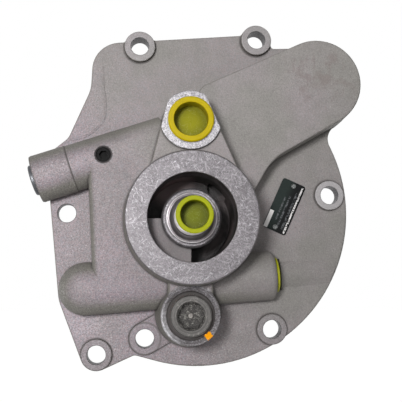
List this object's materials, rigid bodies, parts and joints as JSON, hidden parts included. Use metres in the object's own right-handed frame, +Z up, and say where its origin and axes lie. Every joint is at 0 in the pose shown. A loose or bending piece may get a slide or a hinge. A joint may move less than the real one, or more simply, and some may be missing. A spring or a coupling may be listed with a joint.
{
  "type": "hydraulic pump",
  "caption": "Tractor hydraulic gear pump: cast mounting cover with filter head, capped ports and valve plugs, gear pump and its drive gear behind.",
  "frame": {"origin": "where the filter axis meets the mounting face", "axes": "the mounting face is the plane y = 0 and faces +Y, towards the tractor; the filter side faces -Y; +Z is up as in the picture and +X to the right"},
  "size_m": [0.2797, 0.2286, 0.2966],
  "materials": {
    "cast_aluminium": "sand-cast, shot-blasted, faces machined where things seat",
    "steel": "turned, lightly oiled",
    "dark_steel": "hardened gear steel",
    "zinc_steel": "bluish zinc plate",
    "black_steel": "black oxide",
    "yellow_plastic": "moulded polyethylene",
    "green_plastic": "moulded polyethylene, yellow-green",
    "label_metal": "dark enamelled sheet",
    "bright_pin": "drive pins",
    "copper": "soft copper",
    "bronze": "plain-bearing bronze",
    "block_aluminium": "fine-machined",
    "black_rubber": "nitrile rubber",
    "spring_steel": "oil-tempered wire"
  },
  "bodies": {
    "housing": {"pump_cover": "cast_aluminium", "filter_nipple": "steel", "nipple_cap": "green_plastic", "upper_port_cap": "yellow_plastic", "side_port_cap": "yellow_plastic", "gallery_plug": "black_steel", "nameplate": "label_metal", "nameplate_pins": "bright_pin", "relief_plug": "dark_steel", "relief_plug_seal": "copper", "relief_seat": "steel", "relief_spring": "spring_steel", "valve_plug": "zinc_steel", "valve_plug_washer": "copper", "spool_spring": "spring_steel", "pump_body": "block_aluminium", "body_seals": "black_rubber", "front_bearing_block": "block_aluminium", "rear_bearing_block": "block_aluminium", "front_bushes": "bronze", "rear_bushes": "bronze", "rear_cover": "cast_aluminium", "shaft_seal": "black_rubber", "seal_circlip": "spring_steel", "dowel_pins": "steel", "housing_bolts": "zinc_steel", "bolt_washers": "zinc_steel"},
    "drive": {"drive_shaft": "dark_steel", "input_gear": "dark_steel", "shaft_key": "steel", "shaft_washer": "zinc_steel", "shaft_nut": "zinc_steel"},
    "driven": {"driven_gear": "dark_steel"},
    "relief": {"relief_poppet": "steel"},
    "spool": {"valve_spool": "steel"}
  },
  "joints": [
    {"name": "drive_shaft_spin", "type": "hinge", "parent": "housing", "child": "drive", "pos_m": [0.0195, 0, -0.02481], "axis": [0, 1, 0], "continuous": true},
    {"name": "driven_gear_spin", "type": "hinge", "parent": "housing", "child": "driven", "pos_m": [-0.0195, 0, -0.02481], "axis": [0, 1, 0], "continuous": true},
    {"name": "relief_lift", "type": "slide", "parent": "housing", "child": "relief", "axis": [0, -1, 0], "range_m": [0, 0.004], "stiffness_N_per_m": 2000, "springref_m": -0.006, "deforming": ["relief_spring"]},
    {"name": "spool_travel", "type": "slide", "parent": "housing", "child": "spool", "axis": [-0.9483, 0, -0.3173], "range_m": [0, 0.008], "stiffness_N_per_m": 1500, "springref_m": -0.005, "deforming": ["spool_spring"]}
  ],
  "couplings": [
    {"joint": "driven_gear_spin", "follows": "drive_shaft_spin", "ratio": -1}
  ]
}
